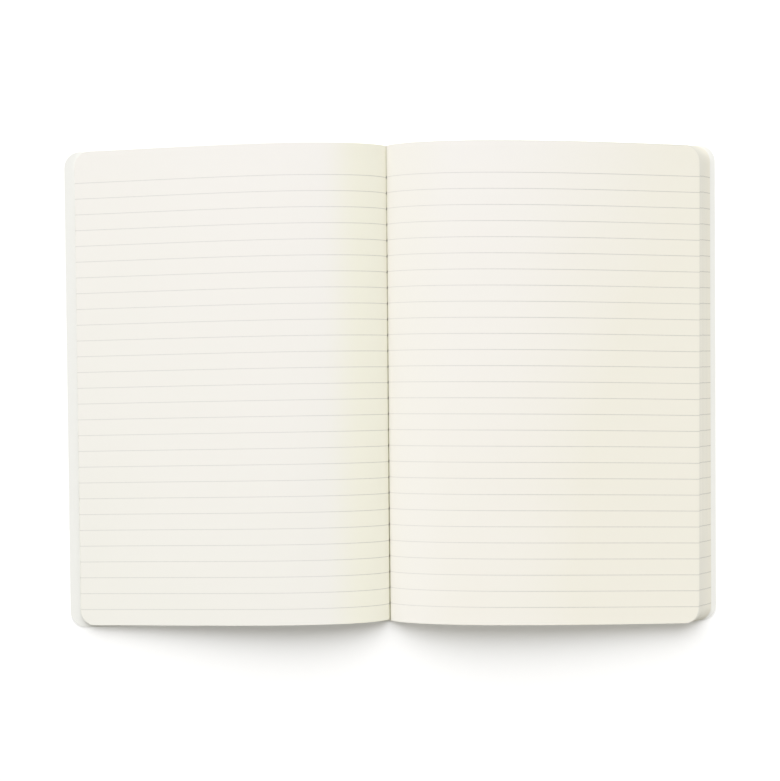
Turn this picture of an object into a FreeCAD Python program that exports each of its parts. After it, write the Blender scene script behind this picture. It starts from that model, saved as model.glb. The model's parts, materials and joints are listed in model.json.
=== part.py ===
import FreeCAD, Part
import math
import os

# An open soft-cover ruled notebook, lying flat on its cover, in millimetres.
# Origin: middle of the spine, on the surface that the notebook lies on.
# +X points across the right page, +Y to the head of the pages, +Z up.

Vector = FreeCAD.Vector

# Leaves and cover card
page_height = 210.0
leaf_width = 139.8
corner_radius = 6.35
spine_width = 7.4
cover_thickness = 0.5
score_depth = 0.15
cover_overhang = 0.65

# Each half lies a little askew: its fore-edge hangs towards the tail, leans out at the head and in at the tail
leaf_droop = 1.15
left_cover_droop = 1.3
right_cover_droop = 0.75
fore_edge_lean = 0.6

# Where the lowest leaf starts, inside the crease, and where the two top pages meet
root_inset = 1.6
gutter_x = -1.65
gutter_z = 1.2

# The left page: a few leaves, arched by the binding, with the tail corner of the fore-edge lifted
left_crest_reach = 42.3
left_crest_z = 11.6
left_edge_z_head = 1.3
left_edge_z_tail = 2.5
left_section_count = 1

# The right page: most of the leaves
right_crest_reach = 47.2
right_crest_z = 12.5
right_edge_z = 6.6
right_section_count = 8

# Form of a page's curve, as shares of the span that each handle lies in
root_handle_across = 0.08
root_handle_rise = 0.63
crest_handle_across = 0.49
left_fall_start = 0.26
left_fall_end = 0.64
left_fall_rise = 0.36
right_fall_start = 0.36
right_fall_end = 0.68
right_fall_rise = 0.41

# Length added past an edge so that a cut goes right through
cut_margin = 20.0

LEFT = {
    "side": -1,
    "crest_reach": left_crest_reach,
    "crest_z": left_crest_z,
    "edge_z": {"head": left_edge_z_head, "tail": left_edge_z_tail},
    "fall": (left_fall_start, left_fall_end, left_fall_rise),
    "section_count": left_section_count,
}
RIGHT = {
    "side": 1,
    "crest_reach": right_crest_reach,
    "crest_z": right_crest_z,
    "edge_z": {"head": right_edge_z, "tail": right_edge_z},
    "fall": (right_fall_start, right_fall_end, right_fall_rise),
    "section_count": right_section_count,
}


def between(low, high, share):
    """The value that lies at a share of the way from low to high."""
    return low + (high - low) * share


def leaf_points(page, share, edge_x, edge_z):
    """Control points of the two cubic curves of a leaf in the section XZ.

    share is 0 for the leaf that lies on the cover and 1 for the top leaf.
    """
    side = page["side"]
    start_fall, end_fall, fall_rise = page["fall"]
    lowest_x = side * (spine_width / 2 - root_inset)
    root = (between(lowest_x, gutter_x, share), between(cover_thickness, gutter_z, share))
    crest = (side * page["crest_reach"], between(cover_thickness, page["crest_z"], share))
    edge = (edge_x, between(cover_thickness, edge_z, share))
    rising = [
        root,
        (between(root[0], crest[0], root_handle_across), between(root[1], crest[1], root_handle_rise)),
        (between(root[0], crest[0], crest_handle_across), crest[1]),
        crest,
    ]
    falling = [
        crest,
        (between(crest[0], edge[0], start_fall), crest[1]),
        (between(crest[0], edge[0], end_fall), between(edge[1], crest[1], fall_rise)),
        edge,
    ]
    return rising, falling


def bezier(points, y):
    """Edge of a Bezier curve whose control points lie in the plane at y."""
    curve = Part.BezierCurve()
    curve.setPoles([Vector(x, y, z) for x, z in points])
    return curve.toShape()


def fore_edge_x(page, share):
    """Where a leaf's fore-edge lies: the arch draws it in, so that the leaf keeps its width."""
    edge_z = sum(page["edge_z"].values()) / 2
    edge_x = page["side"] * (spine_width / 2 + leaf_width - root_inset)
    for _ in range(12):
        rising, falling = leaf_points(page, share, edge_x, edge_z)
        length = bezier(rising, 0).Length + bezier(falling, 0).Length
        edge_x -= page["side"] * (length - leaf_width)
    return edge_x


def section_wire(page, share, end, y):
    """Outline, in the plane at y, of all the leaves up to a share of the stack.

    The top leaf runs on past its fore-edge in a straight line, to be trimmed.
    """
    rising, falling = leaf_points(page, share, fore_edge_x(page, share), page["edge_z"][end])
    handle, edge = falling[2], falling[3]
    slope = (edge[1] - handle[1]) / (edge[0] - handle[0])
    run = page["side"] * corner_radius
    beyond = (edge[0] + run, max(edge[1] + slope * run, cover_thickness + score_depth))
    root = rising[0]
    corners = [edge, beyond, (beyond[0], cover_thickness), (root[0], cover_thickness), root]
    lines = [
        Part.makeLine(Vector(a[0], y, a[1]), Vector(b[0], y, b[1]))
        for a, b in zip(corners, corners[1:])
    ]
    return Part.Wire([bezier(rising, y), bezier(falling, y)] + lines)


def rounded_panel(x_inner, x_outer, thickness, droop, overhang):
    """A flat slab that lies askew, with the corners at its outer edge rounded.

    It reaches past the head and the tail of the leaves by the overhang.
    """
    side = math.copysign(1, x_outer - x_inner)
    lean = side * fore_edge_lean
    slope = side * droop / leaf_width

    def corner(x, end):
        return Vector(x, end * (page_height / 2 + overhang) - slope * (x - gutter_x), 0)

    outline = [corner(x_inner, -1), corner(x_outer - lean, -1), corner(x_outer + lean, 1), corner(x_inner, 1)]
    base = Part.Face(Part.makePolygon(outline + outline[:1]))
    slab = base.extrude(Vector(0, 0, thickness))
    radius = corner_radius + overhang
    outer = [
        edge
        for edge in slab.Edges
        if edge.BoundBox.ZLength > thickness / 2 and abs(edge.Vertexes[0].X - x_inner) > radius
    ]
    return slab.makeFillet(radius, outer)


def section_block(page, share):
    """Solid of the leaves up to a share of the stack, trimmed at their fore-edge and its round corners."""
    reach = page_height / 2 + 2 * leaf_droop
    wires = [
        section_wire(page, share, "head", reach),
        section_wire(page, share, "tail", -reach),
    ]
    block = Part.makeLoft(wires, True, True)
    height = page["crest_z"] + cut_margin
    trim = rounded_panel(-page["side"] * cut_margin, fore_edge_x(page, share), height, leaf_droop, 0)
    return block.common(trim)


def page_block():
    """All the leaves as one solid. On the right each section of them is drawn in further than the one below."""
    blocks = []
    for page in (RIGHT, LEFT):
        count = page["section_count"]
        blocks += [section_block(page, (n + 1) / count) for n in range(count)]
    return blocks[0].multiFuse(blocks[1:]).removeSplitter()


def scored(panel, crease_x, side):
    """A card panel whose lower edge at a crease is bevelled where the card was scored."""
    half = page_height / 2 + cut_margin
    section = [
        Vector(crease_x, -half, 0),
        Vector(crease_x + side * score_depth, -half, 0),
        Vector(crease_x, -half, score_depth),
        Vector(crease_x, -half, 0),
    ]
    groove = Part.Face(Part.makePolygon(section)).extrude(Vector(0, 2 * half, 0))
    return panel.cut(groove)


def cover_panel(side, droop):
    """A cover panel, from its crease to the fore-edge, on the side of -X or +X."""
    crease_x = side * spine_width / 2
    outer_x = crease_x + side * (leaf_width + cover_overhang)
    panel = rounded_panel(crease_x, outer_x, cover_thickness, droop, cover_overhang)
    return scored(panel, crease_x, side)


def spine_strip():
    """The strip of card between the two creases."""
    height = page_height + 2 * cover_overhang
    strip = Part.makeBox(spine_width, height, cover_thickness, Vector(-spine_width / 2, -height / 2, 0))
    for side in (-1, 1):
        strip = scored(strip, side * spine_width / 2, -side)
    return strip


def single(shape):
    """The one solid that a shape is made of."""
    assert len(shape.Solids) == 1 and shape.isValid(), shape.ShapeType
    return shape.Solids[0]


NODES = {
    "back_cover": cover_panel(1, right_cover_droop),
    "spine": spine_strip(),
    "front_cover": cover_panel(-1, left_cover_droop),
    "page_block": page_block(),
}

os.makedirs("parts", exist_ok=True)
for name, shape in NODES.items():
    solid = single(shape)
    solid.exportStep(f"parts/{name}.step")
    box = solid.optimalBoundingBox()
    print(f"{name}: {box.XLength:.2f} x {box.YLength:.2f} x {box.ZLength:.2f} mm, {solid.Volume / 1000:.2f} cm3")
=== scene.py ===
import json
import math

import bpy
import numpy as np
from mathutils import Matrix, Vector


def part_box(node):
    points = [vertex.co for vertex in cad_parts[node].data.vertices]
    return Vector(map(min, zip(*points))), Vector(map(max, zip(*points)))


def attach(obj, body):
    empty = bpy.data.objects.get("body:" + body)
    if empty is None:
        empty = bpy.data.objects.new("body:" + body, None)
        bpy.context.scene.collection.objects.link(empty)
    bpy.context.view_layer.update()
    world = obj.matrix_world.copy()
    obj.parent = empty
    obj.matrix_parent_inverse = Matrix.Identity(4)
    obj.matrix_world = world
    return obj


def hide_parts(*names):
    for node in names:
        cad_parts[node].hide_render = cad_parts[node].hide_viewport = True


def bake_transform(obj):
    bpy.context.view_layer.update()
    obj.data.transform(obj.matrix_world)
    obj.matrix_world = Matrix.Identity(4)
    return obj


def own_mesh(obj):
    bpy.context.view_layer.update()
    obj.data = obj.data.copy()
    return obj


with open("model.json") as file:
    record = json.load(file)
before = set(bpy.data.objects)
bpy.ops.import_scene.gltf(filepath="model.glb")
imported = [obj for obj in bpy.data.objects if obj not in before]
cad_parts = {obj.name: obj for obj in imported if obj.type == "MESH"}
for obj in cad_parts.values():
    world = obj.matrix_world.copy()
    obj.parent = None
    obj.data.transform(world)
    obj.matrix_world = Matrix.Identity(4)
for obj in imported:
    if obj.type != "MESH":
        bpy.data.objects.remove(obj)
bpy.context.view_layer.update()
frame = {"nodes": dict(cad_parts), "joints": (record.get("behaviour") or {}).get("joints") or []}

mm = 0.001

# Places taken from the frame: the creases, the card, the page block's box
creases = {joint["name"]: joint["pos_m"] for joint in frame["joints"]}
creaseX = creases["back_crease"][0]
coverTop = creases["back_crease"][2]
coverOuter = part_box("back_cover")[1][0]
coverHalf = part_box("spine")[1][1]

trimValues = {
    "overhang": 0.65 * mm,  # of the cover beyond the leaves
    "coverLean": 0.6 * mm,  # how far the cover's fore-edge leans out at the head
}
halfHeight = coverHalf - trimValues["overhang"]
leafWidth = coverOuter - creaseX - trimValues["overhang"] - trimValues["coverLean"]

# Values of every leaf. A grid is its rows from the gutter out and its columns from tail to head.
leafValues = {
    "thickness": 0.085 * mm,
    "cornerRadius": 6.35 * mm,
    "rootInset": 1.45 * mm,  # how far inside the crease the lowest leaf starts
    "gutterX": -1.45 * mm,  # where the two top pages meet
    "gutterZ": 1.2 * mm,
    "rootAcross": 0.08,  # places of the rise's two inner control points, as shares of its span
    "rootRise": 0.63,
    "crestAcross": 0.49,
    "rootKeep": 0.08,  # share of the roots' height that is left when a crease is folded
    "restMiddle": 0.8,  # height of a leaf's middle at rest, as a share of its crest's
    "seed": 11,
    "wanderAcross": 0.10 * mm,  # how far a leaf's fore-edge strays from its place
    "wanderAlong": 0.10 * mm,  # and its head and tail
    "samples": 600,  # points on each curve of a leaf's section
    "fittings": 12,  # steps that bring a leaf to its width
    "grid": (26, 6),
    "rootGrid": (9, 6),
    "topGrid": (72, 41),
    "topRootGrid": (28, 41),
    "cornerRows": 8,  # rows of a grid that lie in the round corners
    "crowding": 1.15,  # how the other rows crowd towards the gutter
    "sharpAngle": 40.0,  # degrees; edges bent by more than this are drawn sharp
}
rightPage = {
    "side": 1,
    "body": "back_half",
    "joint": "back_crease",
    "crestReach": 47.2 * mm,
    "crestZ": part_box("page_block")[1][2],
    "edgeHead": 6.6 * mm,  # height of the fore-edge at the head
    "edgeTail": 6.6 * mm,  # and at the tail
    "fall": (0.36, 0.68, 0.41),  # start, end and rise of the fall's two inner control points
    "leaves": 64,
    "wider": 0.0,  # how much further out the fore-edges lie than the arch alone brings them
    "perGroup": 4,
    "fanStart": 0.0,  # share of the arch that the lowest leaf has
    "liftPower": 1.0,  # how much the tail corner's lift gathers in the upper leaves
    "lean": 1.0 * mm,  # how far the top leaf's fore-edge leans out at the head
    "rise": 0.35 * mm,  # how far the leaves sit towards the head
    "printed": 0.35 * mm,  # how far the ruling sits towards the tail on them
    "longer": 0.35 * mm,  # how far they reach past the nominal head and tail
    "taper": 0.60 * mm,  # how much less the top leaf reaches at its fore-edge
    "droop": 1.95 * mm,  # how far the fore-edge of the top leaf hangs towards the tail
    "droopBelow": (1.35 * mm, 1.6 * mm),  # and those of the lowest leaf and of the one below the top
    "droopPower": 1.7,
    "cutEdgeAndShade": (0.2, 1.0),  # strength of the cut edge's colour and of the painted shade between the leaves, on the lowest leaf and on the top one
    "tonedAndShaded": (0.868, 0.842, 0.750, 1),  # the paper towards the fore-edge and the tail: its own toning and painted shade where the light falls off
    "gutterShade": (0.893, 0.870, 0.815, 1),  # and towards the gutter: painted warm shade in its hollow
    "outerShade": 1.0,  # share of that toning and painted shade at the fore-edge
    "ink": (0.55, 1.0),  # strength of the ruling in the gutter and away from it, stronger where the page lies in more shade: painted shade
    "inkShadeSpan": (5 * mm, 80 * mm),  # and the runs between which it changes
    "closedRise": 6.2 * mm,  # height of the top leaf in the closed stack
    "closedKeep": 0.12,  # share of a leaf's arch that is left there
}
leftPage = {
    "side": -1,
    "body": "front_half",
    "joint": "front_crease",
    "crestReach": 42.3 * mm,
    "crestZ": 11.6 * mm,
    "edgeHead": 1.3 * mm,
    "edgeTail": 2.5 * mm,
    "fall": (0.26, 0.64, 0.36),
    "leaves": 8,
    "wider": 1.0 * mm,
    "perGroup": 4,
    "fanStart": 0.88,
    "liftPower": 3.0,
    "lean": 0.8 * mm,
    "rise": 0.50 * mm,
    "printed": 0.75 * mm,
    "longer": 0.0,
    "taper": 0.0,
    "droop": 1.35 * mm,
    "droopBelow": (1.45 * mm, 1.3 * mm),
    "droopPower": 1.5,
    "cutEdgeAndShade": (0.0, 0.0),
    "tonedAndShaded": (0.846, 0.836, 0.772, 1),
    "gutterShade": (0.877, 0.861, 0.745, 1),
    "outerShade": 0.25,
    "ink": (1.0, 0.66),
    "inkShadeSpan": (8 * mm, 40 * mm),
    "closedRise": 0.4 * mm,
    "closedKeep": 0.06,
}


def between(low, high, share):
    return low + (high - low) * share


# A cubic Bezier curve: the four control points weighted by (1-t)^3, 3t(1-t)^2, 3t^2(1-t) and t^3.
def cubic(points, t):
    p = np.asarray(points, float)
    u = 1 - t
    weights = np.stack([u ** 3, 3 * t * u ** 2, 3 * t ** 2 * u, t ** 3], axis=1)
    return weights @ p


# A leaf in section: it rises from the gutter to its crest on one cubic and falls to its fore-edge on
# another. Its heights are the top leaf's, measured from the cover, times its share of the fan.
def leafLine(page, share, edgeShare, edgeX, edgeZ):
    v = leafValues
    side = page["side"]
    lowest = side * (creaseX - v["rootInset"])
    root = np.array([between(lowest, v["gutterX"], share), between(coverTop, v["gutterZ"], share)])
    crest = np.array([side * page["crestReach"], between(coverTop, page["crestZ"], share)])
    edge = np.array([edgeX, between(coverTop, edgeZ, edgeShare)])
    start, end, rise = page["fall"]
    rising = [
        root,
        (between(root[0], crest[0], v["rootAcross"]), between(root[1], crest[1], v["rootRise"])),
        (between(root[0], crest[0], v["crestAcross"]), crest[1]),
        crest,
    ]
    falling = [
        crest,
        (between(crest[0], edge[0], start), crest[1]),
        (between(crest[0], edge[0], end), between(edge[1], crest[1], rise)),
        edge,
    ]
    t = np.linspace(0, 1, v["samples"])
    return np.concatenate([cubic(rising, t), cubic(falling, t)[1:]])


def runLength(line):
    steps = np.hypot(*np.diff(line, axis=0).T)
    return np.concatenate([[0], np.cumsum(steps)])


# The leaf keeps its width, so its fore-edge moves in by as much as the arch makes the line longer.
# Gives the run from the gutter, the place across, and the heights at the head and at the tail.
def leafSection(page, share, edgeShare, liftShare):
    width = leafWidth + page["wider"]
    edgeX = page["side"] * (creaseX - leafValues["rootInset"] + width)
    headZ = page["edgeHead"]
    tailZ = between(page["edgeHead"], page["edgeTail"], liftShare)
    for _ in range(leafValues["fittings"]):
        line = leafLine(page, share, edgeShare, edgeX, (headZ + tailZ) / 2)
        edgeX -= page["side"] * (runLength(line)[-1] - width)
    head = leafLine(page, share, edgeShare, edgeX, headZ)
    tail = leafLine(page, share, edgeShare, edgeX, tailZ)
    along = runLength(line)
    return along / along[-1] * leafWidth, line[:, 0], head[:, 1], tail[:, 1]


# Faces of a closed sheet: two grids of the same size joined round their rim.
def sheetFaces(rows, columns):
    index = np.arange(rows * columns).reshape(rows, columns)
    a, b, c, d = index[:-1, :-1], index[1:, :-1], index[1:, 1:], index[:-1, 1:]
    upper = np.stack([a, b, c, d], axis=-1).reshape(-1, 4)
    lower = upper[:, ::-1] + rows * columns
    rim = np.concatenate([index[:-1, 0], index[-1, :-1], index[:0:-1, -1], index[0, :0:-1]])
    following = np.roll(rim, -1)
    sides = np.stack([rim, rim + rows * columns, following + rows * columns, following], axis=1)
    return np.concatenate([upper, lower, sides])


# A leaf over two parameters, its run s from the gutter and y along the spine. Near the fore-edge the
# rows close in by R - sqrt(R^2 - (s - W + R)^2), which rounds the corners. The leaf is turned a
# little in its plane: it hangs by droop (s/W)^p and leans by lean (s/W)(y/H). Its half height is H +
# longer - taper (s/W)^3. The lower face is the upper one moved by the thickness along the normal.
def leafSheet(page, section, span, grid, form):
    v = leafValues
    along, xs, headZ, tailZ = section
    radius = v["cornerRadius"]
    first, last = span
    rows, columns = grid
    cornerStart = leafWidth - radius
    if last > cornerStart:
        turn = np.linspace(0, math.pi / 2, v["cornerRows"] + 1)[1:]
        bend = np.sin(turn) * radius + leafWidth - radius
        straight = np.linspace(0, 1, rows - v["cornerRows"]) ** v["crowding"]
        s = np.concatenate([between(first, cornerStart, straight), bend])
    else:
        s = np.linspace(first, last, rows)
    past = np.clip(s - leafWidth + radius, 0, radius)
    half = halfHeight - radius + np.sqrt(np.maximum(radius ** 2 - past ** 2, 0))
    half = half + page["longer"] - form["taper"] * (s / leafWidth) ** 3
    y = half[:, None] * np.linspace(-1, 1, columns)[None, :]
    x = np.interp(s, along, xs)[:, None] + 0 * y
    low, high = np.interp(s, along, tailZ)[:, None], np.interp(s, along, headZ)[:, None]
    z = between(low, high, (y + halfHeight) / (2 * halfHeight))
    slope = np.gradient(z, axis=0), np.gradient(x, axis=0)
    size = np.hypot(*slope)
    normalX, normalZ = -slope[0] / size, slope[1] / size
    if page["side"] < 0:
        normalX, normalZ = -normalX, -normalZ
    run = (s / leafWidth)[:, None]
    moved = y - form["droop"] * run ** page["droopPower"] + page["rise"] + form["shift"][1]
    x = x + page["side"] * form["lean"] * run * y / halfHeight + form["shift"][0] * run
    upper = np.stack([x, moved, z], axis=-1)
    lower = upper - v["thickness"] * np.stack([normalX, 0 * y, normalZ], axis=-1)
    points = np.concatenate([upper.reshape(-1, 3), lower.reshape(-1, 3)])
    flat = np.stack([s[:, None] + 0 * y, y + page["printed"]], axis=-1).reshape(-1, 2)
    inward = np.minimum(leafWidth - s[:, None], half[:, None] - abs(y))
    rim = np.stack([inward, form["cutEdgeAndShade"] + 0 * y], axis=-1).reshape(-1, 2)
    faces = sheetFaces(len(s), columns)
    if page["side"] < 0:
        faces = faces[:, ::-1]
    return points, faces, np.concatenate([flat, flat]), np.concatenate([rim, rim])


# One mesh from sheets of points, faces and two UV layers: "leaf" holds the place on the flat leaf,
# and "rim" the distance from its edge and the strength of its cut edge's colour and painted shade.
def meshPiece(name, sheets, material):
    points, faces, offset = [], [], 0
    for sheet in sheets:
        points.append(sheet[0])
        faces.append(sheet[1] + offset)
        offset += len(sheet[0])
    points, faces = np.concatenate(points), np.concatenate(faces)
    mesh = bpy.data.meshes.new(name)
    mesh.vertices.add(len(points))
    mesh.vertices.foreach_set("co", points.astype(np.float32).ravel())
    mesh.loops.add(faces.size)
    mesh.loops.foreach_set("vertex_index", faces.astype(np.int32).ravel())
    mesh.polygons.add(len(faces))
    mesh.polygons.foreach_set("loop_start", np.arange(0, faces.size, faces.shape[1], dtype=np.int32))
    mesh.update(calc_edges=True)
    mesh.validate()
    for place, label in enumerate(("leaf", "rim"), start=2):
        layer = mesh.uv_layers.new(name=label)
        values = np.concatenate([sheet[place] for sheet in sheets])
        layer.data.foreach_set("uv", values[faces.ravel()].astype(np.float32).ravel())
    mesh.shade_smooth()
    mesh.set_sharp_from_angle(angle=math.radians(leafValues["sharpAngle"]))
    mesh.materials.append(material)
    piece = bpy.data.objects.new(name, mesh)
    bpy.context.scene.collection.objects.link(piece)
    return piece


noiseSpan = (0.3, 0.7)  # most of a noise's values lie between these
noiseLift = 0.5  # what brings a noise to a mean of 1


# Makers of nodes in one tree. They take plain values or other nodes' outputs: make fills sockets in
# order and by name, sums is a maths node, mix blends two colours, ramp goes from low to high between
# two values, noise is noise on the object's coordinates, and spread brings a noise to a range.
def nodeMaker(owner):
    owner.use_nodes = True
    tree = owner.node_tree
    tree.nodes.clear()

    def fill(socket, value):
        if isinstance(value, bpy.types.NodeSocket):
            tree.links.new(value, socket)
        else:
            socket.default_value = value

    def make(kind, *placed, **named):
        node = tree.nodes.new(kind)
        for key, value in named.items():
            name = key.replace("_", " ")
            if name in node.inputs:
                fill(node.inputs[name], value)
            else:
                setattr(node, key, value)
        for socket, value in zip(node.inputs, placed):
            fill(socket, value)
        return node

    def sums(operation, *values):
        return make("ShaderNodeMath", *values, operation=operation).outputs[0]

    def mix(share, first, second):
        node = make("ShaderNodeMix", share, data_type="RGBA")
        fill(node.inputs[6], first)  # the sockets of its two colours
        fill(node.inputs[7], second)
        return node.outputs[2]  # and of the blended one

    def ramp(value, start, end, kind="SMOOTHSTEP", low=0.0, high=1.0):
        node = make("ShaderNodeMapRange", value, start, end, low, high, interpolation_type=kind)
        return node.outputs[0]

    def spread(value, low, high):
        return ramp(value, *noiseSpan, "LINEAR", low, high)

    def noise(scale, detail, roughness):
        place = make("ShaderNodeTexCoord").outputs["Object"]
        node = make("ShaderNodeTexNoise", Vector=place, Scale=scale, Detail=detail, Roughness=roughness)
        return node.outputs[0]

    return make, sums, mix, ramp, spread, noise


paperValues = {
    "colour": (0.902, 0.878, 0.846, 1),
    "edge": (0.750, 0.735, 0.668, 1),  # the cut edge: its own darker colour and painted shade between the leaves
    "foldShade": (0.300, 0.288, 0.150, 1),  # painted shade in the crease next to the binding
    "ink": (0.040, 0.040, 0.050, 1),
    "inkDepth": 0.31,
    "inkUneven": (0.75, 1.0),  # range of the ink's strength in the fibre
    "outerShadeFrom": 45.0 * mm,  # the run at which the outer toning and painted shade start
    "gutterShadeStart": 32.0 * mm,  # and those between which the gutter's painted warm shade comes in
    "toneFull": 13.0 * mm,
    "tailShade": 0.6,  # how much of the outer toning and painted shade the tail adds
    "edgeSpan": (0.18 * mm, 0.06 * mm),  # distances from the rim between which the cut edge and its painted shade come in
    "foldWidth": 0.85 * mm,
    "foldShadeHead": 0.30,  # how dark the painted shade in the fold is at the head
    "foldShadeMore": 0.72,  # and how much darker at the tail, away from the light
    "markReach": 0.95 * mm,  # of the dark marks that the ruling makes in the fold
    "markCore": 0.10 * mm,  # and of their darkest part
    "markDepth": 0.62,
    "pitch": 7.0 * mm,
    "firstLine": 13.2 * mm,  # from the head edge
    "lineCount": 28,
    "lineWidth": 0.32 * mm,
    "lineEdge": 0.10 * mm,  # over which it fades
    "fibre": (900.0, 3.0, 0.6),  # scale, detail and roughness
    "cloud": (14.0, 4.0, 0.5),
    "bump": 0.05,
    "bumpHeight": 0.05 * mm,
    "rough": (0.78, 0.90),
    "specular": 0.2,
}


# Paper: an ivory base that is darker and yellower towards the fore-edge and the tail, partly its own
# toning and partly painted shade where the light falls off, and yellower in the gutter with painted
# warm shade, with soft clouds and fine fibre. Grey ruled lines are drawn on the leaf's flat
# coordinates: a line's darkness is 1 within half its width of a multiple of the pitch, and fades over
# its soft edge. It goes from one strength to another between two runs from the gutter, stronger where
# the page lies in more shade, as painted shade. The cut edge is darker, partly its own colour and
# partly painted shade between the leaves; the fold at the binding is darkened with painted shade, and a
# line ends in a dark mark in the fold.
def paperMaterial(page, label):
    v = paperValues
    material = bpy.data.materials.new(label)
    make, sums, mix, ramp, spread, noise = nodeMaker(material)
    flat = make("ShaderNodeSeparateXYZ", make("ShaderNodeUVMap", uv_map="leaf").outputs[0])
    rim = make("ShaderNodeSeparateXYZ", make("ShaderNodeUVMap", uv_map="rim").outputs[0])
    run, along = flat.outputs[0], flat.outputs[1]
    inward, cutEdgeAndShade = rim.outputs[0], rim.outputs[1]
    fibre, cloud = noise(*v["fibre"]), noise(*v["cloud"])

    towardTail = ramp(along, halfHeight, -halfHeight, "LINEAR")
    # Painted shade with toning: the paper darkens and yellows towards the fore-edge and the tail, where
    # the light falls off
    outer = sums("MULTIPLY", ramp(run, v["outerShadeFrom"], leafWidth), page["outerShade"])
    outer = sums("MULTIPLY_ADD", towardTail, v["tailShade"], outer)
    clouded = sums("MULTIPLY", outer, sums("ADD", cloud, noiseLift))
    colour = mix(sums("MINIMUM", clouded, 1.0), v["colour"], page["tonedAndShaded"])
    # Painted warm shade in the gutter's hollow
    colour = mix(ramp(run, v["gutterShadeStart"], v["toneFull"]), colour, page["gutterShade"])
    # The cut edge darkens by its own colour and by painted shade between the leaves, more on the upper
    # leaves
    colour = mix(sums("MULTIPLY", ramp(inward, *v["edgeSpan"]), cutEdgeAndShade), colour, v["edge"])

    down = sums("SUBTRACT", halfHeight - v["firstLine"] + v["pitch"] / 2, along)
    count = sums("DIVIDE", down, v["pitch"])
    below, above = sums("GREATER_THAN", count, 0.0), sums("LESS_THAN", count, float(v["lineCount"]))
    inRange = sums("MULTIPLY", below, above)
    away = sums("ABSOLUTE", sums("SUBTRACT", sums("FRACT", count), 0.5))
    distance = sums("MULTIPLY", away, v["pitch"])
    outside, inside = v["lineWidth"] / 2 + v["lineEdge"] / 2, v["lineWidth"] / 2 - v["lineEdge"] / 2
    drawn = sums("MULTIPLY", ramp(distance, outside, inside, "LINEAR"), inRange)
    ink = sums("MULTIPLY", sums("MULTIPLY", drawn, spread(fibre, *v["inkUneven"])), v["inkDepth"])
    # Painted shade: the ruling is drawn stronger where the page lies in more shade
    inkShading = ramp(run, *page["inkShadeSpan"], "SMOOTHSTEP", *page["ink"])
    colour = mix(sums("MULTIPLY", ink, inkShading), colour, v["ink"])

    # Painted shade in the fold at the binding, darker towards the tail
    inFold = ramp(run, v["foldWidth"], 0.0)
    foldShading = sums("MULTIPLY", inFold, sums("MULTIPLY_ADD", towardTail, v["foldShadeMore"], v["foldShadeHead"]))
    colour = mix(foldShading, colour, v["foldShade"])
    mark = sums("MULTIPLY", ramp(distance, v["markReach"], v["markCore"]), inFold)
    mark = sums("MULTIPLY", mark, sums("MULTIPLY", inRange, v["markDepth"]))
    colour = mix(mark, colour, v["ink"])

    bump = make("ShaderNodeBump", Strength=v["bump"], Distance=v["bumpHeight"], Height=fibre).outputs[0]
    surface = make(
        "ShaderNodeBsdfPrincipled",
        Base_Color=colour,
        Roughness=spread(fibre, *v["rough"]),
        Normal=bump,
        Specular_IOR_Level=v["specular"],
    )
    make("ShaderNodeOutputMaterial", surface.outputs[0])
    return material


cardValues = {
    "colour": (0.874, 0.874, 0.841, 1),
    "darker": (0.844, 0.845, 0.811, 1),
    "mottle": (26.0, 5.0, 0.6),  # scale, detail and roughness
    "felt": (420.0, 4.0, 0.65),
    "bump": 0.16,
    "bumpHeight": 0.1 * mm,
    "rough": (0.62, 0.78),
    "specular": 0.3,
}


# Cover card: a pale uncoated board with a mottled tone and a fine felt grain.
def cardMaterial():
    v = cardValues
    material = bpy.data.materials.new("coverCard")
    make, sums, mix, _, spread, noise = nodeMaker(material)
    mottle, felt = noise(*v["mottle"]), noise(*v["felt"])
    both = sums("MULTIPLY", mottle, sums("ADD", felt, noiseLift))
    bump = make("ShaderNodeBump", Strength=v["bump"], Distance=v["bumpHeight"], Height=felt).outputs[0]
    surface = make(
        "ShaderNodeBsdfPrincipled",
        Base_Color=mix(both, v["colour"], v["darker"]),
        Roughness=spread(felt, *v["rough"]),
        Normal=bump,
        Specular_IOR_Level=v["specular"],
    )
    make("ShaderNodeOutputMaterial", surface.outputs[0])
    return material


card = cardMaterial()


# A piece of leaves keeps to one body, with its own copy of its mesh, and the page block is hidden.
def settleLeaves(piece, page):
    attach(piece, page["body"])
    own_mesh(piece)
    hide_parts("page_block")


# The roots of the leaves stay on the spine strip, each piece with its own copy of its mesh.
def settleRoots(piece):
    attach(piece, "spine_strip")
    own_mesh(piece)
    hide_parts("page_block")


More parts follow.
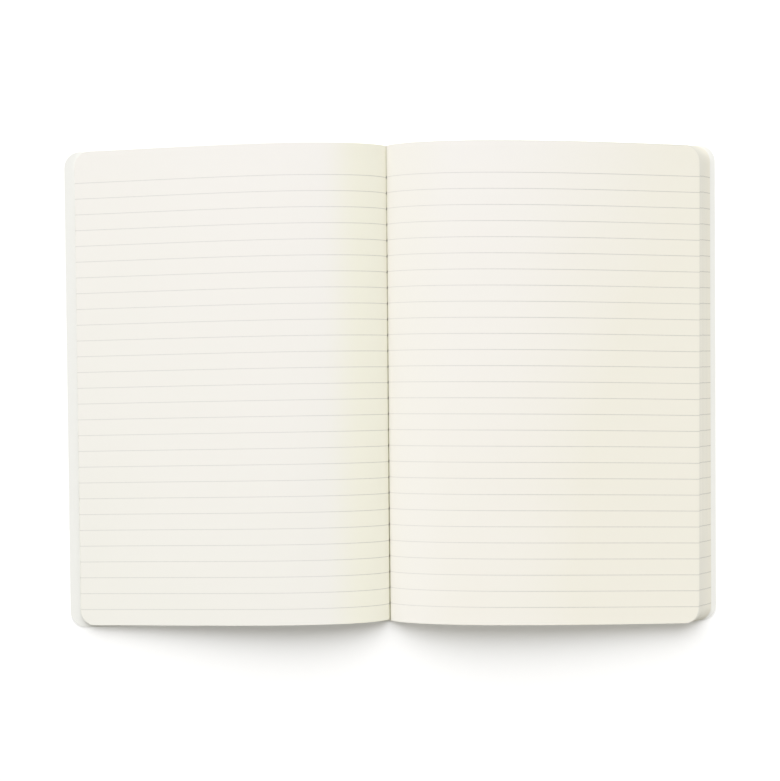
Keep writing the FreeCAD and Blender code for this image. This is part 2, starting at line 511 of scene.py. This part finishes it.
# All the leaves of a page: those of a group ride together, and the top leaf has a finer grid.
# The part of a leaf between the creases, its root, goes to a piece of its own.
def buildPage(page, label, chance):
    v = leafValues
    paper = paperMaterial(page, f"{label}Paper")
    count = page["leaves"]
    outer, roots = {}, {}
    for n in range(1, count + 1):
        top = n == count
        share = between(page["fanStart"], 1.0, n / count)
        section = leafSection(page, share, n / count, (n / count) ** page["liftPower"])
        crease = np.interp(creaseX, page["side"] * section[1], section[0])
        stray = np.zeros(2) if top else chance.uniform(-1, 1, 2)
        form = {
            "shift": stray * (v["wanderAcross"], v["wanderAlong"]),
            "droop": page["droop"] if top else between(*page["droopBelow"], n / count),
            "taper": page["taper"] * n / count,
            "lean": between(trimValues["coverLean"], page["lean"], n / count),
            "cutEdgeAndShade": between(*page["cutEdgeAndShade"], n / count),
        }
        sheet = leafSheet(page, section, (crease, leafWidth), v["topGrid" if top else "grid"], form)
        root = leafSheet(page, section, (0.0, crease), v["topRootGrid" if top else "rootGrid"], form)
        group = "Top" if top else f"{(n - 1) // page['perGroup'] + 1:02d}"
        outer.setdefault(group, []).append((share, sheet))
        roots.setdefault("RootTop" if top else "Roots", []).append(root)
    for group, members in outer.items():
        piece = meshPiece(label + group, [sheet for _, sheet in members], paper)
        settleLeaves(piece, page)
    for group, sheets in roots.items():
        settleRoots(meshPiece(label + group, sheets, paper))
    print(label + ":", count, "leaves")


chance = np.random.default_rng(leafValues["seed"])
buildPage(rightPage, "rightLeaves", chance)
buildPage(leftPage, "leftLeaves", chance)

creaseValues = {
    "reach": 1.3 * mm,  # on each side of the crease
    "inset": 0.03 * mm,  # how far the strip lies inside the card
    "grid": (15, 3),
}


# The card inside a crease: two level grids over x and y joined round their rim, as thick as the card
# less a little. It lies level between the two panels.
def creaseStrip(name, x):
    v = creaseValues
    rows, columns = v["grid"]
    across = x + np.linspace(-v["reach"], v["reach"], rows)
    ys = np.linspace(-coverHalf + v["inset"], coverHalf - v["inset"], columns)
    grid = np.stack(np.meshgrid(across, ys, indexing="ij"), axis=-1)
    upper = np.concatenate([grid, np.full(grid.shape[:2] + (1,), coverTop - v["inset"])], axis=-1)
    lower = np.concatenate([grid, np.full(grid.shape[:2] + (1,), v["inset"])], axis=-1)
    points = np.concatenate([upper.reshape(-1, 3), lower.reshape(-1, 3)])
    flat = np.concatenate([grid.reshape(-1, 2)] * 2)
    piece = meshPiece(name, [(points, sheetFaces(rows, columns), flat, flat)], card)
    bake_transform(piece)


creaseStrip("backCrease", creaseX)
creaseStrip("frontCrease", -creaseX)
for name in ("back_cover", "spine", "front_cover"):
    node = frame["nodes"][name]
    node.data.materials.clear()
    node.data.materials.append(card)
print("cover and creases: done")

lightValues = {
    "fill": 0.365,
    "fillColour": (1.0, 0.98, 0.89, 1),
    "sun": 0.645,  # what the sun adds to a white level surface
    "sunColour": (1.0, 1.006, 1.035),
    "towardHead": 59.0,  # degrees that the sun stands off the vertical
    "towardLeft": 9.0,
    "softness": 80.0,
}
white = (1, 1, 1, 1)


# A broad soft sun from over the head of the page, and an even fill. Together they light a level white
# surface to 1. The fill is a tinted one, and the background that the camera sees stays white.
def studio():
    v = lightValues
    sun = bpy.data.lights.new("softSun", "SUN")
    towardLeft, towardHead = math.radians(v["towardLeft"]), math.radians(v["towardHead"])
    direction = np.array([-math.tan(towardLeft), math.tan(towardHead), 1.0])
    direction /= np.linalg.norm(direction)
    sun.color = v["sunColour"]
    sun.energy = v["sun"] * math.pi / direction[2]
    sun.angle = math.radians(v["softness"])
    lamp = bpy.data.objects.new("softSun", sun)
    lamp.rotation_mode = "AXIS_ANGLE"
    lamp.rotation_axis_angle = (math.acos(direction[2]), -direction[1], direction[0], 0)
    bpy.context.scene.collection.objects.link(lamp)
    world = bpy.data.worlds.new("studio")
    bpy.context.scene.world = world
    make, sums, mix, ramp, *_ = nodeMaker(world)
    path = make("ShaderNodeLightPath")
    seen = sums("MAXIMUM", path.outputs["Is Camera Ray"], path.outputs["Is Glossy Ray"])
    level = ramp(seen, 0.0, 1.0, "LINEAR", v["fill"], 1.0)
    background = make("ShaderNodeBackground", Strength=level, Color=mix(seen, v["fillColour"], white))
    make("ShaderNodeOutputWorld", background.outputs[0])


floorValues = {
    "reach": 4.0,
    "drop": 0.02 * mm,  # below the cover
    "lift": 0.09,  # how much brighter the camera sees the floor than the light makes it
}


def floorPlane():
    v = floorValues
    corners = np.array([(-1, -1), (1, -1), (1, 1), (-1, 1)]) * v["reach"]
    mesh = bpy.data.meshes.new("floor")
    mesh.from_pydata([(x, y, -v["drop"]) for x, y in corners.tolist()], [], [(0, 1, 2, 3)])
    plane = bpy.data.objects.new("floor", mesh)
    bpy.context.scene.collection.objects.link(plane)
    material = bpy.data.materials.new("paleFloor")
    make, sums, *_ = nodeMaker(material)
    matt = make("ShaderNodeBsdfDiffuse", Color=white)
    seen = make("ShaderNodeLightPath").outputs["Is Camera Ray"]
    glow = make("ShaderNodeEmission", Color=white, Strength=sums("MULTIPLY", seen, v["lift"]))
    both = make("ShaderNodeAddShader", matt.outputs[0], glow.outputs[0])
    make("ShaderNodeOutputMaterial", both.outputs[0])
    mesh.materials.append(material)


cameraValues = {
    "place": (-0.65 * mm, -2.95 * mm, 500 * mm),
    "lens": 51.75,  # in millimetres, as is the sensor
    "sensor": 36.0,
    "turn": -0.5,  # degrees about the line of sight
}


def lookDown():
    v = cameraValues
    data = bpy.data.cameras.new("above")
    data.lens = v["lens"]
    data.sensor_width = v["sensor"]
    camera = bpy.data.objects.new("above", data)
    camera.location = v["place"]
    camera.rotation_euler = (0, 0, math.radians(v["turn"]))
    bpy.context.scene.collection.objects.link(camera)
    bpy.context.scene.camera = camera


studio()
floorPlane()
lookDown()
bpy.context.scene.view_settings.view_transform = "Standard"
print("light, floor and camera: done")

bpy.context.view_layer.update()
